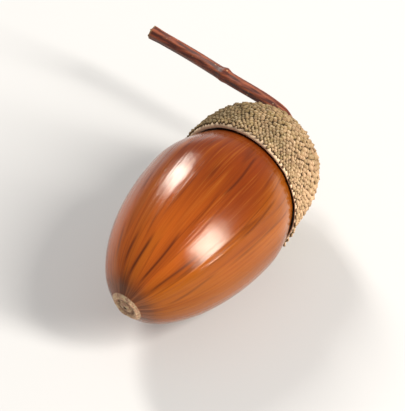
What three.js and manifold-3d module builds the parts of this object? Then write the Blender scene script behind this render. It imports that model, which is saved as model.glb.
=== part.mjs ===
// An acorn of the pedunculate oak, as picked: a glossy nut seated in its cup, with a stub of stalk.
//
// Units are millimetres and +Z is up. The acorn lies on its side with its axis level: the tip points
// to -X and the stalk leaves at +X. The origin is on the small flat spot that the nut rests on.
//
// Outlines are written as pairs of radius and station. The station runs along the acorn's axis, from
// 0 at the widest ring of the nut, positive towards the tip and negative towards the cup's base.

import * as THREE from 'three';
import { mergeVertices } from 'three/addons/utils/BufferGeometryUtils.js';
import Module from 'manifold-3d';

const wasm = await Module();
wasm.setup();

// ---- Driving dimensions ----

const NUT_RADIUS = 9.6;         // at the widest ring
const TIP_STATION = 19.1;       // where the rounded outline would close at the tip
const SCAR_STATION = -11.4;     // the flat scar where the nut sat in its cup
const TIP_FULLNESS = 1.86;      // exponent of the outline towards the tip
const BASE_FULLNESS = 1.4;      // and towards the base
const BASE_REACH = 12.4;        // how far down the axis the base side would close
const WAIST_SOFTNESS = 2.0;     // length over which the base side starts to narrow
const WAIST = [-5, 3];          // stations between which the one outline passes into the other

const BEAK_FOOT_RADIUS = 2.1;   // where the withered style stands on the shell
const BEAK_RING_RADIUS = 1.8;   // the raised ring round it
const BEAK_RING_WIDTH = 0.3;
const BEAK_RING_HEIGHT = 0.26;
const BEAK_GROOVE_RADIUS = 1.2; // inside the ring
const BEAK_GROOVE_HEIGHT = 0.08;
const BEAK_NUB_RADII = [0.55, 0.36, 0.2];
const BEAK_NUB_HEIGHTS = [0.12, 0.47, 0.55];

const TIP_DROP = 0.5;           // how far the tip hangs below the axis
const TIP_LEAN = 13.0;          // degrees by which the tip's end is askew
const TIP_LEAN_TURN = 151.0;    // degrees from straight up towards +Y: the side that it looks to
const TIP_LEAN_START = 4.0;     // station where the lean begins

const RIM_STATION = -5.87;      // where the plane of the cup's rim crosses the axis
const RIM_SLANT = 9.0;          // degrees by which that plane leans back at the top
const RIM_TURN = 13.0;          // degrees by which its lean turns from straight up towards +Y
const CUP_RADIUS = 8.6;
const CUP_DEPTH = 10.4;         // from the rim's plane to the base
const CUP_SHOULDER = 2.5;       // exponents of the cup's outline
const CUP_BASE_ROUNDING = 2.4;
const RIM_WALL = 0.45;          // wall at the thin rim
const RIM_BLEND = 0.25;         // softness of the change from flared rim to belly
const FLARE_SHARE = 0.4;        // share of the cup's depth that the flare reaches down
const BRIM_SPARE = 2.5;         // length that the slanted cut takes off the cup, at most
const SEAT_GAP = 0.3;           // between the nut and the cup, and between the cup and the stalk

const STALK_RADIUS = 0.8;
const STALK_ROUTE = [           // from the middle of the cup's base to the broken end
	[0, 0, 0],
	[1.5, 0.4, 0.1],
	[2.6, 2.0, 0.3],
	[3.2, 5.2, 0.6],
	[3.6, 10.2, 0.9],
	[4.4, 16.4, 1.1],
	[4.7, 22.7, 1.6],
];

const FLAT_DEPTH = 0.12;        // how much the resting spot flattens the nut's belly

const TURNS = 56;               // facets round the axis
const NUT_ROWS = 30;
const CUP_ROWS = 20;
const STALK_SIDES = 10;
const STALK_STEPS = 28;

const AXIS_HEIGHT = NUT_RADIUS - FLAT_DEPTH;
const CUTTER_SIZE = 80;         // of the blocks that cut the rim and the flat, larger than the acorn

// ---- Outlines ----

/** Radius of the nut at a station, without the small ring and nub at its tip. */
function nutRadius(station) {
	const towardsTip = THREE.MathUtils.smoothstep(station, ...WAIST);
	const tipTerm = Math.pow(Math.abs(station) / TIP_STATION, TIP_FULLNESS);
	const softened = Math.hypot(station, WAIST_SOFTNESS) / BASE_REACH;
	const unmoved = WAIST_SOFTNESS / BASE_REACH;
	const baseTerm = Math.pow(softened, BASE_FULLNESS) - Math.pow(unmoved, BASE_FULLNESS);
	const shrink = THREE.MathUtils.lerp(baseTerm, tipTerm, towardsTip);
	return NUT_RADIUS * Math.sqrt(Math.max(0, 1 - shrink));
}

/** Station at which the tip side of the nut has a given radius. */
function tipStationAt(radius) {
	const shrink = 1 - (radius / NUT_RADIUS) ** 2;
	return TIP_STATION * Math.pow(shrink, 1 / TIP_FULLNESS);
}

/** Radius of the cup's outside: a deep bowl that flares a little to follow the nut at its rim. */
function cupRadius(station) {
	const depth = THREE.MathUtils.clamp((RIM_STATION - station) / CUP_DEPTH, 0, 1);
	const bowl = CUP_RADIUS * Math.pow(1 - Math.pow(depth, CUP_SHOULDER), 1 / CUP_BASE_ROUNDING);
	const flare = nutRadius(station) + SEAT_GAP + RIM_WALL;
	const isDeep = RIM_STATION - station > FLARE_SHARE * CUP_DEPTH;
	return isDeep ? bowl : 0.5 * (bowl + flare + Math.hypot(bowl - flare, RIM_BLEND));
}

/** Stations from one end to the other, closer together at both ends, where an outline turns fast. */
function stations(from, to, count) {
	const steps = Array.from({ length: count + 1 }, (_, i) => i / count);
	return steps.map((t) => THREE.MathUtils.lerp(from, to, 0.5 - 0.5 * Math.cos(Math.PI * t)));
}

/** The nut's outline from the scar to the foot of its beak. */
function nutOutline() {
	const beakFoot = tipStationAt(BEAK_FOOT_RADIUS);
	return stations(SCAR_STATION, beakFoot, NUT_ROWS).map((s) => new THREE.Vector2(nutRadius(s), s));
}

/** The beak at the nut's tip: a raised ring, the groove inside it, and the nub in the middle. */
function beakOutline() {
	const seat = tipStationAt(BEAK_FOOT_RADIUS);
	const nub = BEAK_NUB_RADII.map((radius, i) => new THREE.Vector2(radius, seat + BEAK_NUB_HEIGHTS[i]));
	return [
		new THREE.Vector2(BEAK_RING_RADIUS, seat + BEAK_RING_HEIGHT),
		new THREE.Vector2(BEAK_RING_RADIUS - BEAK_RING_WIDTH, seat + BEAK_RING_HEIGHT),
		new THREE.Vector2(BEAK_GROOVE_RADIUS, seat + BEAK_GROOVE_HEIGHT),
		...nub,
	];
}

/** An outline moved outwards by a distance, each point along the normal of its neighbours' chord. */
function grown(outline, distance) {
	return outline.map((point, i) => {
		const before = outline[Math.max(0, i - 1)];
		const after = outline[Math.min(outline.length - 1, i + 1)];
		const chord = after.clone().sub(before).normalize();
		return new THREE.Vector2(point.x + chord.y * distance, point.y - chord.x * distance);
	});
}

// ---- Solids ----

/** Revolves an outline, closed onto the axis at both ends, and lays it along the acorn's axis. */
function turned(outline) {
	const first = new THREE.Vector2(0, outline[0].y);
	const last = new THREE.Vector2(0, outline[outline.length - 1].y);
	const geometry = new THREE.LatheGeometry([first, ...outline, last], TURNS);
	geometry.rotateZ(Math.PI / 2);
	geometry.translate(0, 0, AXIS_HEIGHT);
	return geometry;
}

/** A closed geometry as a Manifold solid. */
function solid(geometry) {
	const bare = geometry.clone();
	bare.deleteAttribute('normal');
	bare.deleteAttribute('uv');
	const merged = mergeVertices(bare);
	const corners = merged.index.array;
	const kept = [];
	for (let i = 0; i < corners.length; i += 3) {
		const [a, b, c] = corners.slice(i, i + 3);
		if (a !== b && b !== c && c !== a) {
			kept.push(a, b, c);
		}
	}
	const vertProperties = new Float32Array(merged.attributes.position.array);
	return new wasm.Manifold(new wasm.Mesh({ numProp: 3, vertProperties, triVerts: new Uint32Array(kept) }));
}

/** A Manifold solid as a geometry. */
function geometryOf(manifold) {
	const mesh = manifold.getMesh();
	const geometry = new THREE.BufferGeometry();
	geometry.setAttribute('position', new THREE.BufferAttribute(mesh.vertProperties, 3));
	geometry.setIndex(new THREE.BufferAttribute(mesh.triVerts, 1));
	geometry.computeVertexNormals();
	return geometry;
}

/** Leans a nut's tip to one side and lets it hang a little, as a grown one does. */
function askew(geometry) {
	const lean = Math.tan(THREE.MathUtils.degToRad(TIP_LEAN));
	const turn = THREE.MathUtils.degToRad(TIP_LEAN_TURN);
	const points = geometry.attributes.position;
	for (let i = 0; i < points.count; i += 1) {
		const station = -points.getX(i);
		const height = points.getZ(i) - AXIS_HEIGHT;
		const aside = points.getY(i) * Math.sin(turn) + height * Math.cos(turn);
		const leant = lean * THREE.MathUtils.smoothstep(station, TIP_LEAN_START, TIP_STATION);
		const hung = TIP_DROP * Math.pow(THREE.MathUtils.clamp(station / TIP_STATION, 0, 1), 3);
		points.setX(i, leant * aside - station);
		points.setZ(i, points.getZ(i) - hung);
	}
	return geometry;
}

/** Everything under the surface that the acorn lies on. */
function ground() {
	const block = new THREE.BoxGeometry(CUTTER_SIZE, CUTTER_SIZE, CUTTER_SIZE);
	block.translate(0, 0, -CUTTER_SIZE / 2);
	return solid(block);
}

/** Everything on the tip's side of the cup's slanted rim. */
function beyondRim() {
	const block = new THREE.BoxGeometry(CUTTER_SIZE, CUTTER_SIZE, CUTTER_SIZE);
	block.translate(-CUTTER_SIZE / 2, 0, 0);
	block.rotateY(THREE.MathUtils.degToRad(RIM_SLANT));
	block.rotateX(THREE.MathUtils.degToRad(-RIM_TURN));
	block.translate(-RIM_STATION, 0, AXIS_HEIGHT);
	return solid(block);
}

/** The nut: a long smooth body with its beak at the tip and a flat scar at the base. */
function nutGeometry() {
	return geometryOf(solid(askew(turned([...nutOutline(), ...beakOutline()]))).subtract(ground()));
}

/** The cup: a bowl hollowed to the nut's own shape and cut off at the slanted rim. */
function cupGeometry() {
	const brim = RIM_STATION + BRIM_SPARE;
	const outside = stations(RIM_STATION - CUP_DEPTH, brim, CUP_ROWS)
		.map((s) => new THREE.Vector2(cupRadius(s), s));
	const hollow = turned(grown(nutOutline(), SEAT_GAP));
	return geometryOf(solid(turned(outside)).subtract(solid(hollow)).subtract(beyondRim()));
}

/** The stub of stalk: it leaves the cup's base along the axis and bends sideways to a broken end. */
function stalkGeometry() {
	const start = new THREE.Vector3(CUP_DEPTH - RIM_STATION + SEAT_GAP, 0, AXIS_HEIGHT);
	const points = STALK_ROUTE.map((offset) => start.clone().add(new THREE.Vector3(...offset)));
	const route = new THREE.CatmullRomCurve3(points);
	const section = new THREE.Shape().absarc(0, 0, STALK_RADIUS, 0, 2 * Math.PI);
	const settings = { extrudePath: route, steps: STALK_STEPS, curveSegments: STALK_SIDES };
	return new THREE.ExtrudeGeometry(section, { ...settings, bevelEnabled: false });
}

// ---- Assembly ----

const FINISHES = {
	nut: { color: 0xa8521f, roughness: 0.22, metalness: 0 },
	cup: { color: 0xa08c68, roughness: 0.9, metalness: 0 },
	stalk: { color: 0x6e3a24, roughness: 0.6, metalness: 0 },
};

/** One named sub-part in its finish. */
function part(name, geometry) {
	const mesh = new THREE.Mesh(geometry, new THREE.MeshStandardMaterial(FINISHES[name]));
	mesh.name = name;
	return mesh;
}

const acorn = new THREE.Group();
acorn.name = 'acorn';
acorn.add(part('nut', nutGeometry()));
acorn.add(part('cup', cupGeometry()));
acorn.add(part('stalk', stalkGeometry()));

export default acorn;
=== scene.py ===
"""A picked acorn of the pedunculate oak: a glossy nut in its scaly cup, with a bent stub of stalk.

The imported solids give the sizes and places. The acorn lies on its side with its axis level. A point on
it is told by three numbers, in millimetres and radians: its station along the axis, which is 0 at the
nut's widest ring, positive towards the tip and negative towards the cup's base; its distance from the
axis; and its angle round the axis, 0 at the top and growing towards +Y.
"""

import itertools
import logging
import math
from collections.abc import Mapping, Sequence
from dataclasses import dataclass, field
from enum import Enum

import bpy
import numpy as np
from mathutils import Matrix, Vector


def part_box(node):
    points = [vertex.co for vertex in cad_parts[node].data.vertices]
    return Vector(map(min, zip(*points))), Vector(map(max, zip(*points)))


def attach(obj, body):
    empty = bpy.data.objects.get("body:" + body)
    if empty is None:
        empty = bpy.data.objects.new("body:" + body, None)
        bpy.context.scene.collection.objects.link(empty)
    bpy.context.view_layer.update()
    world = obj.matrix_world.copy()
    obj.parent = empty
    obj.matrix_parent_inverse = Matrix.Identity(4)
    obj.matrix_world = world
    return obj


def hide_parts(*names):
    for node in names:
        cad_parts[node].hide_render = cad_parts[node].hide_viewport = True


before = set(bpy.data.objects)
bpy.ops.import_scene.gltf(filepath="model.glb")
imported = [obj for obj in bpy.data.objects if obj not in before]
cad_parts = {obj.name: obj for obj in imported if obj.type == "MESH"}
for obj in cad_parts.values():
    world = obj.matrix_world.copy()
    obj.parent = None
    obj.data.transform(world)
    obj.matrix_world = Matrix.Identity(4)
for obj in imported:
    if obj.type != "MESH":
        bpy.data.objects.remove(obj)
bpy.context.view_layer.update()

MM = 0.001
GOLDEN_ANGLE = math.pi * (3.0 - math.sqrt(5.0))
WAVE_GAIN = 1.4  # lifts a mean of waves, whose crests seldom meet, to about the height asked for
NEAR_AXIS = 0.0001  # added to distances from the axis in the finishes, so that none is 0
FINE_STEPS = 3000  # points of a curve whose length is added up
NEARBY = 0.001  # a short way along or round the cup, for finding which way its wall faces
BODY = "root"
log = logging.getLogger("acorn")


# ---------------------------------------------------------------- measures and shapes


@dataclass(frozen=True)
class Axis:
    """The acorn's axis and main measures in millimetres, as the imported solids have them."""

    height: float
    nut_radius: float
    scar: float
    cup_base: float
    stalk_start: float

    @classmethod
    def from_frame(cls) -> "Axis":
        """Reads the measures from the boxes of the three solids.

        Returns:
            The measures.
        """
        nut_low, nut_high = (np.array(corner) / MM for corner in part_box("nut"))
        _, cup_high = (np.array(corner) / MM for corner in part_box("cup"))
        stalk_low, _ = (np.array(corner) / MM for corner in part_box("stalk"))
        radius = (nut_high[1] - nut_low[1]) / 2.0
        return cls(nut_high[2] - radius, radius, -nut_high[0], -cup_high[0], stalk_low[0])

    def place(self, station: np.ndarray, radius: np.ndarray, angle: np.ndarray) -> np.ndarray:
        """Points in the row frame, in millimetres.

        Args:
            station: Distances along the axis, towards the tip.
            radius: Distances from the axis.
            angle: Angles round the axis, from the top towards +Y.

        Returns:
            An array with one more dimension than the arguments, of x, y and z.
        """
        parts = np.broadcast_arrays(-station, radius * np.sin(angle), self.height + radius * np.cos(angle))
        return np.stack(parts, axis=-1)


@dataclass(frozen=True)
class Waves:
    """Smooth seeded unevenness round the axis: a sum of waves, each of which closes on itself.

    Attributes:
        seed: Seed of the waves' turns, phases and drifts.
        count: How many waves are added up.
        turns: Least and most crests that one wave has round the axis.
        drift: How fast the crests change along the axis, in radians for each millimetre.
        height: About how high the highest crests are.
    """

    seed: int
    count: int
    turns: tuple[int, int]
    drift: float
    height: float = 1.0

    def at(self, angle: np.ndarray, station: np.ndarray | float) -> np.ndarray:
        """Heights at some angles and stations.

        Args:
            angle: Angles round the axis.
            station: Distances along the axis, or any other measure that the waves drift with.

        Returns:
            The heights, above and below 0.
        """
        draw = np.random.default_rng(self.seed)
        total = np.zeros(np.broadcast(angle, station).shape)
        gain = WAVE_GAIN * self.height / self.count
        for _ in range(self.count):
            turns = draw.integers(self.turns[0], self.turns[1] + 1)
            phase, rate = draw.uniform(0.0, 2.0 * math.pi), draw.normal(0.0, self.drift)
            total += np.cos(turns * angle + phase) * np.cos(rate * station + 2.0 * phase)
        return total * gain


def smooth(low: float, high: float, value: np.ndarray | float) -> np.ndarray:
    """A soft step from 0 at low to 1 at high."""
    step = np.clip((np.asarray(value, float) - low) / (high - low), 0.0, 1.0)
    return step * step * (3.0 - 2.0 * step)


def bell(value: np.ndarray, width: float) -> np.ndarray:
    """A soft bump of height 1 at 0, which has faded by about twice its width."""
    return np.exp(-((value / width) ** 2))


def eased(count: int) -> np.ndarray:
    """Fractions from 0 to 1, closer together at both ends, where an outline turns fast."""
    return 0.5 - 0.5 * np.cos(np.linspace(0.0, math.pi, count))


def round_turn(count: int) -> np.ndarray:
    """Angles of evenly spaced columns round a full turn."""
    return np.arange(count) * (2.0 * math.pi / count)


@dataclass
class ClosedSkin:
    """A closed body made of rings of points, with a single point at each end.

    Attributes:
        name: Name of the piece.
        rings: Array of rows, columns and x, y, z in millimetres.
        first: Point that closes the first ring.
        last: Point that closes the last ring.
        marks: Numbers for the vertices, by attribute name: arrays of rows and columns.
    """

    name: str
    rings: np.ndarray
    first: np.ndarray
    last: np.ndarray
    marks: dict[str, np.ndarray] = field(default_factory=dict)

    def faces(self) -> list[tuple[int, ...]]:
        """Quads between neighbouring rings, and a fan of triangles at each end.

        Returns:
            The faces, each as the numbers of its corners.
        """
        rows, columns = self.rings.shape[:2]
        column = np.arange(columns)
        after = (column + 1) % columns
        starts = np.arange(rows - 1) * columns
        quads = [
            np.stack([s + column, s + after, s + columns + after, s + columns + column], axis=1)
            for s in starts
        ]
        end = (rows - 1) * columns
        pole = np.full(columns, rows * columns)
        first_fan = np.stack([pole, after, column], axis=1)
        last_fan = np.stack([pole + 1, end + column, end + after], axis=1)
        return [tuple(face) for block in (*quads, first_fan, last_fan) for face in block.tolist()]

    def build(self) -> bpy.types.Object:
        """Makes the mesh, facing outwards, and links it to the scene.

        Returns:
            The new object, at the origin, with its place in its mesh.
        """
        points = np.vstack([self.rings.reshape(-1, 3), self.first, self.last])
        points[:, 2] = np.maximum(points[:, 2], 0.0)  # nothing sinks into what the acorn lies on
        faces = self.faces()
        if self.volume(points, faces) < 0.0:
            faces = [face[::-1] for face in faces]
        mesh = bpy.data.meshes.new(self.name)
        mesh.from_pydata((points * MM).tolist(), [], faces)
        for name, values in self.marks.items():
            mark = mesh.attributes.new(name, "FLOAT", "POINT")
            ends = [values[0].mean(), values[-1].mean()]
            mark.data.foreach_set("value", np.concatenate([values.ravel(), ends]).astype(np.float32))
        mesh.shade_smooth()
        piece = bpy.data.objects.new(self.name, mesh)
        bpy.context.scene.collection.objects.link(piece)
        return piece

    @staticmethod
    def volume(points: np.ndarray, faces: Sequence[tuple[int, ...]]) -> float:
        """Six times the signed volume of a closed body.

        Args:
            points: Its corners.
            faces: Its faces, each as the numbers of its corners.

        Returns:
            That number, which is negative where the faces point inwards.
        """
        middle = points.mean(axis=0)
        corners = np.array([face[:3] for face in faces])
        a, b, c = (points[corners[:, i]] - middle for i in range(3))
        return float(np.einsum("ij,ij->i", a, np.cross(b, c)).sum())


# ---------------------------------------------------------------- shader maths


class Signal:
    """A socket of a node tree that Python arithmetic can be written on."""

    def __init__(self, shader: "Shader", socket: bpy.types.NodeSocket) -> None:
        """Wraps a socket of a shader's tree."""
        self.shader = shader
        self.socket = socket

    def maths(self, operation: str, *values: "Signal | float") -> "Signal":
        """Adds one Math node.

        Args:
            operation: The Math node's operation.
            *values: What goes into its sockets, in order.

        Returns:
            The node's result.
        """
        sockets = dict(enumerate(values))
        return self.shader.add("ShaderNodeMath", {"operation": operation}, sockets)

    def __add__(self, other: "Signal | float") -> "Signal":
        """This plus another."""
        return self.maths("ADD", self, other)

    def __radd__(self, other: "Signal | float") -> "Signal":
        """Another plus this."""
        return self.maths("ADD", other, self)

    def __sub__(self, other: "Signal | float") -> "Signal":
        """This less another."""
        return self.maths("SUBTRACT", self, other)

    def __rsub__(self, other: "Signal | float") -> "Signal":
        """Another less this."""
        return self.maths("SUBTRACT", other, self)

    def __mul__(self, other: "Signal | float") -> "Signal":
        """This times another."""
        return self.maths("MULTIPLY", self, other)

    def __rmul__(self, other: "Signal | float") -> "Signal":
        """Another times this."""
        return self.maths("MULTIPLY", other, self)

    def __truediv__(self, other: "Signal | float") -> "Signal":
        """This divided by another."""
        return self.maths("DIVIDE", self, other)

    def __pow__(self, power: float) -> "Signal":
        """This to a power."""
        return self.maths("POWER", self, power)

    def __abs__(self) -> "Signal":
        """Its size without its sign."""
        return self.maths("ABSOLUTE", self)

    def between(self, low: float, high: float) -> "Signal":
        """A soft step of this signal.

        Args:
            low: Where the step is 0. It may be the greater of the two.
            high: Where the step is 1.

        Returns:
            The step, from 0 to 1.
        """
        settings = {"interpolation_type": "SMOOTHSTEP"}
        if low < high:
            return self.shader.add("ShaderNodeMapRange", settings, {"Value": self, 1: low, 2: high})
        return 1.0 - self.between(high, low)

    def clamped(self) -> "Signal":
        """Itself, kept between 0 and 1."""
        return self.shader.add("ShaderNodeClamp", {}, {0: self})

    def swing(self, amount: float) -> "Signal":
        """A noise made to swing about 0, times an amount."""
        return (self - 0.5) * amount


Colour = tuple[float, float, float, float]


def colour(code: str) -> Colour:
    """The linear colour of a web code.

    Args:
        code: Six hexadecimal digits, such as "c8a070".

    Returns:
        Red, green, blue and an alpha of 1.
    """
    parts = [int(code[i : i + 2], 16) / 255.0 for i in (0, 2, 4)]
    # The curve of standard RGB, which is straight for the darkest tones.
    red, green, blue = (p / 12.92 if p <= 0.04045 else ((p + 0.055) / 1.055) ** 2.4 for p in parts)
    return (red, green, blue, 1.0)


@dataclass(frozen=True)
class Grain:
    """A noise pattern.

    Attributes:
        cells: Cells for each millimetre. For a grain along the meridians, it is the radius in cells of
            the circle that the angle runs round.
        detail: Octaves of finer noise on it.
        rough: How strong the finer noise is.
        along: Cells for each millimetre along the axis, for a grain along the meridians.
    """

    cells: float
    detail: float = 2.0
    rough: float = 0.5
    along: float | None = None


@dataclass(frozen=True)
class Wash:
    """A layer of colour that a pattern lays on.

    Attributes:
        tone: Its colour.
        start: Value of the pattern where it begins.
        full: Value of the pattern where it is strongest. It may be below the start.
        share: How much of it covers what is under it there, from 0 to 1.
    """

    tone: Colour
    start: float
    full: float
    share: float = 1.0


class Shader:
    """A material under construction, with its coordinates in millimetres about the acorn's axis."""

    def __init__(self, name: str, axis: Axis) -> None:
        """Makes an empty material and the coordinates that its patterns read.

        Args:
            name: Name of the material.
            axis: The acorn's axis.
        """
        self.material = bpy.data.materials.new(name)
        self.material.use_nodes = True
        self.tree = self.material.node_tree
        self.tree.nodes.clear()
        self.skin = self.tree.nodes.new("ShaderNodeBsdfPrincipled")
        output = self.tree.nodes.new("ShaderNodeOutputMaterial")
        self.tree.links.new(self.skin.outputs[0], output.inputs["Surface"])
        own = self.add("ShaderNodeTexCoord", {}, {}, "Object")
        settings = {"Scale": (1.0 / MM,) * 3, "Location": (0.0, 0.0, -axis.height)}
        self.place = self.add("ShaderNodeMapping", {}, {"Vector": own, **settings})
        self.x = self.add("ShaderNodeSeparateXYZ", {}, {0: self.place}, 0)
        self.y = self.add("ShaderNodeSeparateXYZ", {}, {0: self.place}, 1)
        self.z = self.add("ShaderNodeSeparateXYZ", {}, {0: self.place}, 2)
        self.radius = ((self.y * self.y + self.z * self.z) ** 0.5) + NEAR_AXIS

    def add(
        self,
        kind: str,
        settings: Mapping[str, object],
        sockets: Mapping[str | int, object],
        result: str | int = 0,
    ) -> Signal:
        """Adds any node.

        Args:
            kind: The node's type.
            settings: Its properties, set first.
            sockets: Values or signals for its inputs, by name, identifier or number.
            result: Which output is wanted.

        Returns:
            That output.
        """
        node = self.tree.nodes.new(kind)
        for name, value in settings.items():
            setattr(node, name, value)
        known = {s.identifier: s for s in node.inputs}
        for key, value in sockets.items():
            socket = known.get(key) or node.inputs[key]
            self.connect(socket, value)
        return Signal(self, node.outputs[result])

    def connect(self, socket: bpy.types.NodeSocket, value: object) -> None:
        """Links a signal to a socket, or sets the socket's own value.

        Args:
            socket: The socket.
            value: A signal, or a plain number, vector or colour.
        """
        if isinstance(value, Signal):
            self.tree.links.new(value.socket, socket)
        else:
            socket.default_value = value

    def pattern(self, grain: Grain) -> Signal:
        """The value of a noise pattern, from 0 to 1.

        Args:
            grain: The pattern.

        Returns:
            The value.
        """
        if grain.along is None:
            return self.noise(self.place, grain.cells, grain)
        return self.noise(self.round_axis(grain.cells, grain.along), 1.0, grain)

    def noise(self, vector: Signal, scale: float, grain: Grain) -> Signal:
        """Noise with the detail of a grain.

        Args:
            vector: The coordinates that it reads.
            scale: Its cells for each unit of them.
            grain: The grain.

        Returns:
            The noise, from 0 to 1.
        """
        sockets = {"Vector": vector, "Scale": scale, "Detail": grain.detail, "Roughness": grain.rough}
        return self.add("ShaderNodeTexNoise", {"noise_dimensions": "3D"}, sockets)

    def vector(self, x: Signal | float, y: Signal | float, z: Signal | float) -> Signal:
        """Three numbers as a vector."""
        return self.add("ShaderNodeCombineXYZ", {}, {0: x, 1: y, 2: z})

    def round_axis(self, cells: float, along: float) -> Signal:
        """Coordinates that follow the meridians and meet at the tip without a seam.

        Args:
            cells: Radius, in cells of noise, of the circle that the angle runs round.
            along: Cells of noise for each millimetre along the axis.

        Returns:
            A vector for a noise of scale 1.
        """
        return self.vector(self.x * along, self.y / self.radius * cells, self.z / self.radius * cells)

    def mixed(self, share: Signal | float, a: Signal | Colour, b: Signal | Colour) -> Signal:
        """Colour a turned towards colour b by a share."""
        sockets = {"Factor_Float": share, "A_Color": a, "B_Color": b}
        return self.add("ShaderNodeMix", {"data_type": "RGBA"}, sockets, 2)

    def washed(self, tone: Signal | Colour, wash: Wash, pattern: Signal) -> Signal:
        """A colour with a wash on it.

        Args:
            tone: The colour under it.
            wash: The wash.
            pattern: What lays it on.

        Returns:
            The colour.
        """
        return self.mixed(pattern.between(wash.start, wash.full) * wash.share, tone, wash.tone)

    def facing(self, turn: tuple[float, float]) -> Signal:
        """How far a point lies to one side of the axis.

        Args:
            turn: Shares of +Y and +Z in the direction of that side.

        Returns:
            A number from -1 to 1.
        """
        return (self.y * turn[0] + self.z * turn[1]) / self.radius

    def mark(self, name: str) -> Signal:
        """A number that the mesh holds for each vertex."""
        return self.add("ShaderNodeAttribute", {"attribute_name": name}, {}, "Fac")

    def bump(self, height: Signal, depth: float, strength: float, under: Signal | None = None) -> Signal:
        """A normal that shows a relief.

        Args:
            height: The relief, from 0 to 1.
            depth: How deep it is, in millimetres.
            strength: How much of it shows.
            under: A normal from a coarser relief.

        Returns:
            The normal, for the shader or for a finer bump.
        """
        sockets = {"Height": height, "Distance": depth * MM, "Strength": strength}
        if under is not None:
            sockets["Normal"] = under
        return self.add("ShaderNodeBump", {}, sockets)

    def finish(self, **sockets: object) -> bpy.types.Material:
        """Sets the shader's own sockets.

        Args:
            **sockets: Values or signals, named with underscores for spaces.

        Returns:
            The finished material.
        """
        for name, value in sockets.items():
            self.connect(self.skin.inputs[name.replace("_", " ")], value)
        return self.material


# ---------------------------------------------------------------- finishes


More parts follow.
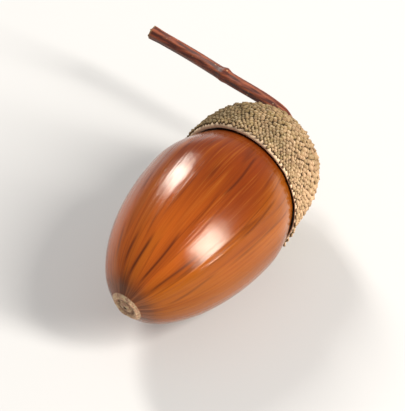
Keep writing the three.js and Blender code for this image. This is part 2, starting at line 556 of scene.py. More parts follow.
@dataclass(frozen=True)
class ShellFinish:
    """The nut's leathery, polished shell: red-brown, more orange on one flank, streaked end to end.

    Each wash is laid on by the pattern of its name, unless its comment says otherwise. A relief is a
    depth in millimetres and a strength. An edge is how far a wash's edge strays.
    """

    body: Colour = colour("773007")
    # Lighter and more orange towards the beak: partly the shell's own tone, partly painted light standing in
    # for fill light that the lamps don't give that end.
    beakward_tone_and_painted_light: Wash = Wash(colour("a54e10"), 0.0, -13.0)  # laid on by x
    flank: Wash = Wash(colour("8e4c08"), -0.1, 1.0, 0.9)  # laid on by the side of the axis
    flank_turn: tuple[float, float] = (-0.876, -0.482)
    flank_edge: float = 1.3
    band_light: Wash = Wash(colour("a05410"), 0.5, 0.68, 0.5)
    band_dark: Wash = Wash(colour("702907"), 0.5, 0.3, 0.4)
    grain_light: Wash = Wash(colour("b06c26"), 0.52, 0.76, 0.32)
    grain_dark: Wash = Wash(colour("5e2206"), 0.5, 0.27, 0.38)
    fibre_dark: Wash = Wash(colour("5e2206"), 0.52, 0.3, 0.22)
    streak: Colour = colour("340d03")
    streak_cover: float = 0.6
    streak_grain: float = 0.7
    thread_width: float = 0.06
    thread_fibres: tuple[float, float] = (0.45, 0.62)  # values of the fibres that threads show on
    thread_cover: float = 0.4
    tip_shade: Colour = colour("58301c")
    tip_light: Wash = Wash(colour("8c5232"), 0.85, 1.2)  # laid on by the grain and the fibres
    tip_reach: tuple[float, float] = (-14.0, -17.0)  # along x
    tip_width: tuple[float, float] = (4.8, 2.4)  # distances from the axis
    tip_edge: tuple[float, float] = (2.2, 2.0)  # by the grain, and by the patches
    tip_cover: float = 0.85
    # Darker by the cup's rim: partly the shell's own darker band, partly painted shade where the cup's lip
    # shades the nut.
    rim_band_and_painted_shade: Wash = Wash(colour("5e2a0c"), 3.6, 6.8, 0.5)  # laid on by x
    rim_edge: float = 1.2
    beak: Colour = colour("d6ba92")
    beak_rosy: Wash = Wash(colour("bc9074"), 0.35, 0.6)  # laid on by the withering
    beak_stain: Wash = Wash(colour("553c22"), 0.5, 0.75, 0.6)
    # Painted shade in the groove between the beak's ring and its nub.
    groove: Colour = colour("553c22")
    groove_wither: float = 1.5
    # Near-black painted shade in the pit of the nub.
    pit: Colour = colour("1c120a")
    scar: Colour = colour("b59468")
    shine: Colour = colour("fff0e4")
    patches: Grain = Grain(1.6, 3.0, along=0.09)
    bands: Grain = Grain(3.2, along=0.05)
    fibres: Grain = Grain(8.0, along=0.06)
    grain: Grain = Grain(32.0, 3.0, 0.65, along=0.08)
    threads: Grain = Grain(6.0, 1.0, along=0.04)
    withering: Grain = Grain(2.6, 3.0)
    stains: Grain = Grain(5.2)
    roughness: float = 0.15
    grain_roughness: float = 0.16
    dull_roughness: float = 0.5
    streak_roughness: float = 0.1
    grain_relief: tuple[float, float] = (0.05, 0.65)
    wither_relief: tuple[float, float] = (0.15, 0.5)
    gloss: float = 0.36

    def material(self, axis: Axis) -> bpy.types.Material:
        """Builds the shell's material.

        Args:
            axis: The acorn's axis.

        Returns:
            The material. It reads the marks "streak", "beak", "groove", "pit" and "scar".
        """
        s = Shader("shell", axis)
        patch, band, fibre = s.pattern(self.patches), s.pattern(self.bands), s.pattern(self.fibres)
        grain, wither = s.pattern(self.grain), s.pattern(self.withering)
        streak, dull = s.mark("streak"), (s.mark("beak") + s.mark("scar")).clamped()
        # Painted light, and the shell's own lighter tone, towards the beak.
        tone = s.washed(self.body, self.beakward_tone_and_painted_light, s.x)
        tone = s.washed(tone, self.flank, s.facing(self.flank_turn) + patch.swing(self.flank_edge))
        tone = s.washed(tone, self.band_light, band)
        tone = s.washed(tone, self.band_dark, band)
        tone = s.washed(tone, self.grain_light, grain)
        tone = s.washed(tone, self.grain_dark, grain)
        tone = s.washed(tone, self.fibre_dark, fibre)
        tone = s.mixed(self.threads_on(s, fibre) * self.thread_cover, tone, self.streak)
        streaked = (streak * (self.streak_cover + grain * self.streak_grain)).clamped()
        tone = s.mixed(streaked, tone, self.streak)
        by_grain, by_patch = self.tip_edge
        ragged = s.radius + grain.swing(by_grain) + patch.swing(by_patch)
        tip = s.x.between(*self.tip_reach) * ragged.between(*self.tip_width)
        tone = s.mixed(tip * self.tip_cover, tone, s.washed(self.tip_shade, self.tip_light, grain + fibre))
        # Painted shade, and the shell's own darker band, next to the cup's rim.
        tone = s.washed(tone, self.rim_band_and_painted_shade, s.x + fibre.swing(self.rim_edge))
        tone = s.mixed(s.mark("beak"), tone, self.beak_tone(s, wither))
        tone = s.mixed(s.mark("scar"), tone, self.scar)
        rough = self.roughness + grain.swing(self.grain_roughness) + dull * self.dull_roughness
        relief = s.bump(grain, *self.grain_relief)
        relief = s.bump(wither * dull, *self.wither_relief, relief)
        return s.finish(
            Base_Color=tone, Roughness=rough + streak * self.streak_roughness, Normal=relief,
            Specular_IOR_Level=self.gloss, Specular_Tint=self.shine,
        )

    def threads_on(self, s: Shader, fibre: Signal) -> Signal:
        """Fine dark threads, which wander along the shell where its fibres are strong.

        Args:
            s: The shell's shader.
            fibre: The fibres.

        Returns:
            Their darkness, from 0 to 1.
        """
        off_thread = abs(s.pattern(self.threads) - 0.5) * 2.0
        return (1.0 - off_thread.between(0.0, self.thread_width)) * fibre.between(*self.thread_fibres)

    def beak_tone(self, s: Shader, wither: Signal) -> Signal:
        """Colours the withered beak, with painted shade in its groove and near-black painted shade in the
        pit of its nub.

        Args:
            s: The shell's shader.
            wither: The noise that mottles the beak.

        Returns:
            The colour.
        """
        tone = s.washed(self.beak, self.beak_rosy, wither)
        tone = s.washed(tone, self.beak_stain, s.pattern(self.stains))
        # Painted shade in the groove, and near-black painted shade in the pit.
        tone = s.mixed(s.mark("groove") * (wither * self.groove_wither), tone, self.groove)
        return s.mixed(s.mark("pit"), tone, self.pit)


@dataclass(frozen=True)
class ScaleFinish:
    """The cup's downy scales: pale tan backs, brown tips and dark gaps, with olive patches.

    The olive is partly painted shade on the side turned up towards +Y, and the warm tone partly painted
    light on the side away from it; the warm tone is stronger on some scales and on mottles too. The pale
    down is partly a painted highlight on the scales' crests, and the dark gaps are painted shade at their
    feet.
    The numbers after a wash say how strongly each pattern takes part in laying it on.
    """

    back: Colour = colour("8a744c")
    warm: Colour = colour("cca884")
    warm_tint: float = 0.7
    # How much the side away from the olive one takes the warm tone, as painted light.
    painted_light_side: float = 0.35
    warm_loss: float = 0.35
    # Olive patches, and painted shade on the side turned up towards +Y.
    olive: Wash = Wash(colour("574a32"), -0.15, 0.85, 0.78)
    painted_shade_turn: tuple[float, float] = (0.72, 0.69)
    painted_shade_side: float = 0.7
    olive_patches: float = 1.6
    olive_mottle: float = 1.4
    # Pale down, partly a painted highlight on each scale's crest, where the lift is high.
    down: Wash = Wash(colour("e4d2b0"), 0.75, 1.25, 0.4)  # laid on by the lift
    down_grit: float = 1.4
    brown: Wash = Wash(colour("6a4e30"), 3.1, 3.5, 0.6)  # laid on by the tint
    brown_tint: float = 3.0
    # Painted shade in the gaps at the scales' feet, where the lift is low.
    painted_gap_shade: Wash = Wash(colour("453522"), 0.52, 0.1)  # laid on by the lift
    gap_grit: float = 0.7
    tip: Colour = colour("6a4e30")
    tip_grit: float = 0.4
    tip_cover: float = 0.5
    patches: Grain = Grain(0.2, 3.0)
    mottles: Grain = Grain(0.75)
    grit: Grain = Grain(3.0, 3.0, 0.7)
    grit_relief: tuple[float, float] = (0.1, 0.7)
    roughness: float = 0.88
    grit_roughness: float = 0.1
    sheen: float = 0.2
    sheen_roughness: float = 0.5
    gloss: float = 0.25

    def material(self, axis: Axis) -> bpy.types.Material:
        """Builds the scales' material.

        Args:
            axis: The acorn's axis.

        Returns:
            The material. It reads the marks "lift", "point" and "tint".
        """
        s = Shader("scales", axis)
        patch, mottle, grit = s.pattern(self.patches), s.pattern(self.mottles), s.pattern(self.grit)
        tint, lift, side = s.mark("tint"), s.mark("lift"), s.facing(self.painted_shade_turn)
        # The warm tone is partly painted light on the side away from the painted shade.
        warmth = tint * self.warm_tint + mottle - side * self.painted_light_side - self.warm_loss
        tone = s.mixed(warmth.clamped(), self.back, self.warm)
        # The olive is partly painted shade on the side turned up towards +Y.
        shaded = side * self.painted_shade_side + patch.swing(self.olive_patches) + mottle.swing(self.olive_mottle)
        tone = s.washed(tone, self.olive, shaded)
        # Pale down, and painted highlights on the scales' crests.
        tone = s.washed(tone, self.down, lift + grit.swing(self.down_grit))
        tone = s.washed(tone, self.brown, tint * self.brown_tint + grit)
        # Painted shade in the gaps between the scales.
        tone = s.washed(tone, self.painted_gap_shade, lift + grit.swing(self.gap_grit))
        tips = (s.mark("point") * (self.tip_grit + grit)).clamped()
        tone = s.mixed(tips * self.tip_cover, tone, self.tip)
        return s.finish(
            Base_Color=tone, Roughness=self.roughness + grit.swing(self.grit_roughness),
            Normal=s.bump(grit, *self.grit_relief), Sheen_Weight=self.sheen,
            Sheen_Roughness=self.sheen_roughness, Sheen_Tint=self.down.tone, Specular_IOR_Level=self.gloss,
        )


@dataclass(frozen=True)
class BowlFinish:
    """The cup's wall: a felted outside painted dark as shade between the scales, with pale down on it, a
    pale worn lip and a silky lining.
    """

    # Painted shade: the dark wall outside, which shows between the scales.
    painted_shade_felt: Colour = colour("3a2c18")
    felt_down: Wash = Wash(colour("a28458"), 0.45, 0.7, 0.4)  # laid on by the grit
    lip: Colour = colour("e6c8a4")
    lip_cover: float = 0.75
    lip_grit: float = 0.5
    lining: Colour = colour("a28458")
    lining_silk: Wash = Wash(colour("785834"), 0.4, 0.7, 0.6)
    grit: Grain = Grain(2.8, 3.0, 0.65)
    silk: Grain = Grain(20.0, along=0.5)
    grit_relief: tuple[float, float] = (0.06, 0.6)
    roughness: float = 0.9
    lining_smoothness: float = 0.25
    grit_roughness: float = 0.08
    sheen: float = 0.3
    sheen_roughness: float = 0.5
    gloss: float = 0.25

    def material(self, axis: Axis) -> bpy.types.Material:
        """Builds the wall's material.

        Args:
            axis: The acorn's axis.

        Returns:
            The material. It reads the marks "lip" and "inside".
        """
        s = Shader("cup_wall", axis)
        grit, inside = s.pattern(self.grit), s.mark("inside")
        # The wall's outside is painted dark as shade between the scales, with pale down on it.
        painted_shade_felt = s.washed(self.painted_shade_felt, self.felt_down, grit)
        lining = s.washed(self.lining, self.lining_silk, s.pattern(self.silk))
        worn = (s.mark("lip") * (self.lip_cover + grit * self.lip_grit)).clamped()
        tone = s.mixed(worn, s.mixed(inside, painted_shade_felt, lining), self.lip)
        rough = self.roughness - inside * self.lining_smoothness + grit.swing(self.grit_roughness)
        return s.finish(
            Base_Color=tone, Roughness=rough, Normal=s.bump(grit, *self.grit_relief),
            Sheen_Weight=self.sheen, Sheen_Roughness=self.sheen_roughness, Specular_IOR_Level=self.gloss,
        )


@dataclass(frozen=True)
class BarkFinish:
    """The stalk's smooth red-brown bark with pale pores, and pale wood at its broken end."""

    shade: Colour = colour("46190c")
    bark: Wash = Wash(colour("7c3418"), 0.35, 0.7)  # laid on by the streaks
    # Paler on pale streaks as the bark's own tone, and on the ribs' crests as painted light.
    rib_light_and_streak_tone: Wash = Wash(colour("9a5230"), 0.1, 0.6, 0.6)  # laid on by the ribs and the streaks
    rib_light_weight: float = 0.5
    pore: Colour = colour("b98c60")
    pore_cells: float = 1.3  # for each millimetre
    pore_size: tuple[float, float] = (0.2, 0.1)  # its edge and its middle, as shares of a cell
    pore_places: tuple[float, float] = (0.45, 0.6)  # values of the patches that pores show on
    pore_cover: float = 0.75
    wood: Colour = colour("b89a6c")
    pith: Wash = Wash(colour("6b4a2a"), 0.35, 0.65)  # laid on by the wood's grain
    streak_cells: tuple[float, float, float] = (3.0, 0.5, 3.0)  # for each millimetre along x, y and z
    streaks: Grain = Grain(1.0, 3.0)
    patches: Grain = Grain(0.9)
    wood_grain: Grain = Grain(5.0)
    roughness: float = 0.5
    streak_roughness: float = 0.2
    wood_roughness: float = 0.35
    streak_relief: tuple[float, float] = (0.08, 0.5)
    pore_relief: tuple[float, float] = (0.05, 0.6)

    def material(self, axis: Axis) -> bpy.types.Material:
        """Builds the bark's material.

        Args:
            axis: The acorn's axis.

        Returns:
            The material. It reads the marks "broken" and "ridge".
        """
        s = Shader("bark", axis)
        stretched = s.add("ShaderNodeMapping", {}, {"Vector": s.place, "Scale": self.streak_cells})
        streaks, broken = s.noise(stretched, self.streaks.cells, self.streaks), s.mark("broken")
        dots = s.add("ShaderNodeTexVoronoi", {}, {"Vector": s.place, "Scale": self.pore_cells}, "Distance")
        pores = dots.between(*self.pore_size) * s.pattern(self.patches).between(*self.pore_places)
        tone = s.washed(self.shade, self.bark, streaks)
        # Painted light on the ribs' crests, and the bark's own pale streaks.
        tone = s.washed(tone, self.rib_light_and_streak_tone, s.mark("ridge") * self.rib_light_weight + streaks.swing(1.0))
        tone = s.mixed(pores * self.pore_cover, tone, self.pore)
        tone = s.mixed(broken, tone, s.washed(self.wood, self.pith, s.pattern(self.wood_grain)))
        rough = self.roughness + streaks.swing(self.streak_roughness) + broken * self.wood_roughness
        relief = s.bump(streaks, *self.streak_relief)
        relief = s.bump(pores, *self.pore_relief, relief)
        return s.finish(Base_Color=tone, Roughness=rough, Normal=relief)


# ---------------------------------------------------------------- the nut


@dataclass(frozen=True)
class Streak:
    """One dark streak on the shell, along a meridian.

    Attributes:
        angle: Degrees round the axis.
        start: Station of the end nearer to the cup.
        end: Station of the end nearer to the tip.
        strength: How dark it is, from 0 to 1.
        width: Half its width in millimetres.
        fade: Length over which each end fades.
    """

    angle: float
    start: float
    end: float
    strength: float
    width: float = 0.16
    fade: float = 2.5


@dataclass
class Nut:
    """The nut: a long oval body, a beak of a ring and a nub at its tip, and a scar at its base.

    Attributes:
        axis: The acorn's axis and measures.
        tip_station: Station where the rounded outline would close at the tip.
        tip_fullness: Exponent of the outline towards the tip.
        base_fullness: Exponent of the outline towards the base.
        base_reach: How far down the axis the base side would close.
        waist_softness: Length over which the base side starts to narrow.
        waist: Stations between which the one outline passes into the other.
        beak_foot: Radius of the beak where it stands on the shell.
        ring_radius: Radius of the raised ring round the beak.
        ring_height: How far that ring stands up.
        ring_width: Its width, from its crest to where it has faded.
        ring_wear: How unlike its height is from place to place, as a share of it.
        ring_stray: How far it strays from its circle.
        nub_height: How far the nub stands up.
        nub_radius: Radius of the nub's foot.
        nub_lobes: Number of its lobes, how far they stand out, and how far its foot strays.
        nub_turn: Radians by which the lobes are turned.
        nub_fullness: Exponent of its outline.
        pit_depth: Depth of the pit in the nub.
        pit_width: Width of that pit.
        pit_shade_width: Width of the near-black painted shade in it.
        dish_depth: Depth of the dish round the pit.
        dish_width: Width of that dish.
        groove_radius: Radius of the groove inside the ring, which is darkened with painted shade.
        groove_width: Width of that groove.
        groove_dark: How dark that painted shade is, from 0 to 1.
        drop: How far the tip hangs below the axis.
        lean: Degrees by which the tip's end is askew.
        lean_turn: Degrees from straight up towards +Y of the side that it looks to.
        lean_start: Station where the lean begins.
        shoulder_depth: Depth of the slight hollow in the shell before the beak.
        shoulder_width: Width of that hollow, and how far its middle lies outside the beak's foot.
        bare: Stations at each end of the shell between which its unevenness comes and goes.
        sunk: How far the uneven shell lies below the plain one.
        facets: Slow unevenness of the shell.
        ridges: Fine ridges along the shell.
        wobble: Unevenness of the beak's ring and nub.
        cracks: Fine cracks across the beak.
        crack_reach: Distances from the beak's middle between which the cracks begin.
        scar_relief: Unevenness of the scar.
        scar_span: Shares of the scar's radius where its first and last rings lie.
        scar_fade: Exponent by which its unevenness fades towards its edge.
        columns: Points round the axis.
        rows: Rings from the scar to the beak.
        scar_rows: Rings on the scar.
        beak_rows: Rings on the beak.
        beak_span: Shares of the beak's radius where its first and last rings lie.
        beak_edge: How far below the foot the beak's colour begins, and how far below it is full.
        beak_margin: Width of the edge of the beak's foot.
        faint_count: How many fainter streaks are drawn at random.
        faint_start: Least and greatest station where one starts.
        faint_length: Least and greatest length of one.
        faint_strength: Least and greatest strength of one.
        faint_width: Least and greatest half width of one.
        streak_seed: Seed of that drawing.
        streak_stray: How far each streak strays from its meridian, and radians of that for each millimetre.
        streaks: The streaks that stand out.
    """

    axis: Axis
    tip_station: float = 19.1
    tip_fullness: float = 1.86
    base_fullness: float = 1.4
    base_reach: float = 12.4
    waist_softness: float = 2.0
    waist: tuple[float, float] = (-5.0, 3.0)
    beak_foot: float = 2.1
    ring_radius: float = 1.65
    ring_height: float = 0.26
    ring_width: float = 0.27
    ring_wear: float = 0.45
    ring_stray: float = 0.09
    nub_height: float = 0.55
    nub_radius: float = 0.92
    nub_lobes: tuple[float, float, float] = (3.0, 0.12, 0.08)
    nub_turn: float = 0.6
    nub_fullness: float = 0.75
    pit_depth: float = 0.42
    pit_width: float = 0.2
    pit_shade_width: float = 0.3
    dish_depth: float = 0.1
    dish_width: float = 0.5
    groove_radius: float = 1.12
    groove_width: float = 0.2
    groove_dark: float = 0.9
    drop: float = 0.5
    lean: float = 13.0
    lean_turn: float = 151.0
    lean_start: float = 4.0
    shoulder_depth: float = 0.12
    shoulder_width: float = 0.7
    bare: tuple[float, float, float, float] = (-7.0, -2.0, 16.0, 19.0)
    sunk: float = 0.05
    facets: Waves = Waves(3, 7, (2, 5), 0.09, 0.07)
    ridges: Waves = Waves(5, 16, (22, 60), 0.06, 0.02)
    wobble: Waves = Waves(8, 9, (2, 9), 0.0)
    cracks: Waves = Waves(9, 14, (16, 44), 2.0, 0.045)
    crack_reach: tuple[float, float] = (0.15, 0.7)
    scar_relief: Waves = Waves(14, 12, (2, 11), 1.1, 0.09)
    scar_span: tuple[float, float] = (0.06, 0.95)
    scar_fade: int = 4
    columns: int = 400
    rows: int = 170
    scar_rows: int = 14
    beak_rows: int = 46
    beak_span: tuple[float, float] = (0.985, 0.03)
    beak_edge: tuple[float, float] = (0.12, 0.02)
    beak_margin: float = 0.2
    faint_count: int = 46
    faint_start: tuple[float, float] = (-6.0, 13.0)
    faint_length: tuple[float, float] = (3.0, 8.0)
    faint_strength: tuple[float, float] = (0.08, 0.36)
    faint_width: tuple[float, float] = (0.08, 0.13)
    streak_seed: int = 21
    streak_stray: tuple[float, float] = (0.2, 0.55)
    streaks: tuple[Streak, ...] = (
        Streak(334, -5.6, 4.5, 0.75),
        Streak(337, 3.0, 10.0, 0.45, 0.12),
        Streak(1, 11.0, 18.0, 0.9, 0.2),
        Streak(340, 9.5, 18.0, 0.8),
        Streak(15, 11.5, 17.0, 0.75, 0.2),
        Streak(301, -3.0, 6.5, 0.6),
        Streak(316, 10.0, 18.2, 0.7),
        Streak(288, 9.0, 17.0, 0.5),
        Streak(37, 10.5, 16.5, 0.5, 0.2),
        Streak(315, -6.0, 0.0, 0.4, 0.12),
        Streak(6, 8.0, 13.5, 0.55, 0.12),
        Streak(306, 4.5, 12.0, 0.35, 0.12),
    )

    @property
    def seat(self) -> float:
        """Station of the beak's foot, where the shell's outline stops."""
        shrink = 1.0 - (self.beak_foot / self.axis.nut_radius) ** 2
        return self.tip_station * shrink ** (1.0 / self.tip_fullness)

    def place(self, station: np.ndarray, radius: np.ndarray, angle: np.ndarray) -> np.ndarray:
        """Points of the nut, whose tip is a little askew and hangs a little below the axis.

        Args:
            station: Distances along the axis.
            radius: Distances from the axis.
            angle: Angles round the axis.

        Returns:
            The points, in millimetres.
        """
        leant = math.tan(math.radians(self.lean)) * smooth(self.lean_start, self.tip_station, station)
        aside = radius * np.cos(angle - math.radians(self.lean_turn))
        points = self.axis.place(station - leant * aside, radius, angle)
        points[..., 2] -= self.drop * np.clip(station / self.tip_station, 0.0, 1.0) ** 3
        return points

    def radius_at(self, station: np.ndarray) -> np.ndarray:
        """The shell's radius, before its unevenness.

        Args:
            station: Distances along the axis.

        Returns:
            The radius at each.
        """
        tip_term = (np.abs(station) / self.tip_station) ** self.tip_fullness
        softened = np.hypot(station, self.waist_softness) / self.base_reach
        unmoved = self.waist_softness / self.base_reach
        base_term = softened**self.base_fullness - unmoved**self.base_fullness
        towards_tip = smooth(*self.waist, station)
        shrink = base_term * (1.0 - towards_tip) + tip_term * towards_tip
        return self.axis.nut_radius * np.sqrt(np.clip(1.0 - shrink, 0.0, 1.0))

    def uneven_radius(self, station: np.ndarray, angle: np.ndarray) -> np.ndarray:
        """The shell's radius with the slight facets, ridges and hollow of a real one.

        Args:
            station: Distances along the axis.
            angle: Angles round the axis.

        Returns:
            The radius at each point.
        """
        plain = self.radius_at(station)
        open_part = smooth(*self.bare[:2], station) * (1.0 - smooth(*self.bare[2:], station))
        relief = self.facets.at(angle, station) + self.ridges.at(angle, station) - self.sunk
        near_tip = station > self.tip_station / 2.0
        off_middle = plain - self.beak_foot - self.shoulder_width
        shoulder = self.shoulder_depth * bell(off_middle, self.shoulder_width) * near_tip
        return plain + relief * open_part - shoulder

    def beak_height(self, radius: np.ndarray, angle: np.ndarray) -> np.ndarray:
        """Height of the beak above its foot: a worn ring, a groove, and a lobed cone with a pit.

        Args:
            radius: Distances from the beak's middle.
            angle: Angles round it.

        Returns:
            The height at each point.
        """
        wobble = self.wobble.at(angle, radius)
        off_ring = radius - self.ring_radius - self.ring_stray * wobble
        ring = self.ring_height * (1.0 + self.ring_wear * wobble) * bell(off_ring, self.ring_width)
        count, out, stray = self.nub_lobes
        foot = self.nub_radius + (out * np.cos(count * angle + self.nub_turn) + stray * wobble)
        cone = self.nub_height * np.clip(1.0 - radius / foot, 0.0, 1.0) ** self.nub_fullness
        pit = self.pit_depth * bell(radius, self.pit_width) + self.dish_depth * bell(radius, self.dish_width)
        whole_foot = smooth(self.beak_foot - self.beak_margin, self.beak_foot, radius)
        cracked = smooth(*self.crack_reach, radius) * (1.0 - whole_foot)
        return ring + cone - pit + self.cracks.at(angle, radius) * cracked

    def streak_marks(self, station: np.ndarray, angle: np.ndarray, radius: np.ndarray) -> np.ndarray:
        """How dark each point of the shell is from the streaks.

        Args:
            station: Distances along the axis.
            angle: Angles round the axis.
            radius: Distances from the axis.

        Returns:
            The darkness at each point, from 0 to 1.
        """
        total = np.zeros(radius.shape)
        stray, rate = self.streak_stray
        for streak in (*self.streaks, *self.faint_streaks()):
            wander = stray * np.sin(station * rate + streak.angle) / np.maximum(radius, 1.0)
            turn = (angle - math.radians(streak.angle) + wander + math.pi) % (2.0 * math.pi) - math.pi
            starting = smooth(streak.start, streak.start + streak.fade, station)
            ending = 1.0 - smooth(streak.end - streak.fade, streak.end, station)
            dark = streak.strength * starting * ending * bell(turn * radius, streak.width)
            total = np.maximum(total, dark)
        return total

    def faint_streaks(self) -> list[Streak]:
        """Draws the fainter streaks, which lie anywhere.

        Returns:
            The streaks.
        """
        draw = np.random.default_rng(self.streak_seed)
        faint = []
        for _ in range(self.faint_count):
            start, length = draw.uniform(*self.faint_start), draw.uniform(*self.faint_length)
            strength = draw.uniform(*self.faint_strength)
            angle, width = draw.uniform(0.0, 360.0), draw.uniform(*self.faint_width)
            faint.append(Streak(angle, start, start + length, strength, width))
        return faint

    def build(self) -> bpy.types.Object:
        """Builds the nut.

        Returns:
            The nut's piece.
        """
        angle = round_turn(self.columns)[None, :]
        whole = np.ones_like(angle)
        scar_share = np.linspace(*self.scar_span, self.scar_rows)[:, None]
        scar_radius = scar_share * self.radius_at(np.array([self.axis.scar]))
        unfaded = 1.0 - scar_share**self.scar_fade
        scar = self.axis.scar + unfaded * self.scar_relief.at(angle, scar_radius)
        body = (self.axis.scar + (self.seat - self.axis.scar) * eased(self.rows))[:, None]
        shell = self.uneven_radius(body, angle)
        beak_radius = (self.beak_foot * np.linspace(*self.beak_span, self.beak_rows))[:, None]
        beak = self.seat + self.beak_height(beak_radius, angle)
        foot = shell[-1][None, :] / self.beak_foot
        radii = np.vstack([scar_radius * whole, shell, beak_radius * foot])
        stations = np.vstack([scar, body * whole, beak])
        angles = np.broadcast_to(angle, radii.shape)
        rings = self.place(stations, radii, angles)
        ends = [self.place(stations[i].mean(), np.zeros(()), np.zeros(())) for i in (0, -1)]
        nut = ClosedSkin("nut_shell", rings, *ends, self.marks(stations, radii, angles)).build()
        nut.data.materials.append(ShellFinish().material(self.axis))
        return nut

    def marks(self, station: np.ndarray, radius: np.ndarray, angle: np.ndarray) -> dict[str, np.ndarray]:
        """Where the scar, the streaks and the parts of the beak lie.

        Args:
            station: Distances along the axis, ring by ring from the scar.
            radius: Distances from the axis.
            angle: Angles round the axis.

        Returns:
            A number for each point, by the name that the finish reads.
        """
        is_scar = np.zeros(radius.shape)
        is_scar[: self.scar_rows + 1] = 1.0
        begins, is_full = (self.seat - below for below in self.beak_edge)
        is_beak = smooth(begins, is_full, station) * (radius < self.beak_foot + self.beak_margin)
        return {
            "streak": self.streak_marks(station, angle, radius) * (1.0 - is_beak),
            "beak": is_beak,
            # The groove and the pit of the beak are darkened as painted shade.
            "groove": self.groove_dark * is_beak * bell(radius - self.groove_radius, self.groove_width),
            "pit": is_beak * bell(radius, self.pit_shade_width),
            "scar": is_scar,
        }


# ---------------------------------------------------------------- the cup


class CupPart(Enum):
    """The stretches of the cup's wall, from the outside of its base to the inside."""

    OUTSIDE = "outside"
    LIP = "lip"
    INSIDE = "inside"


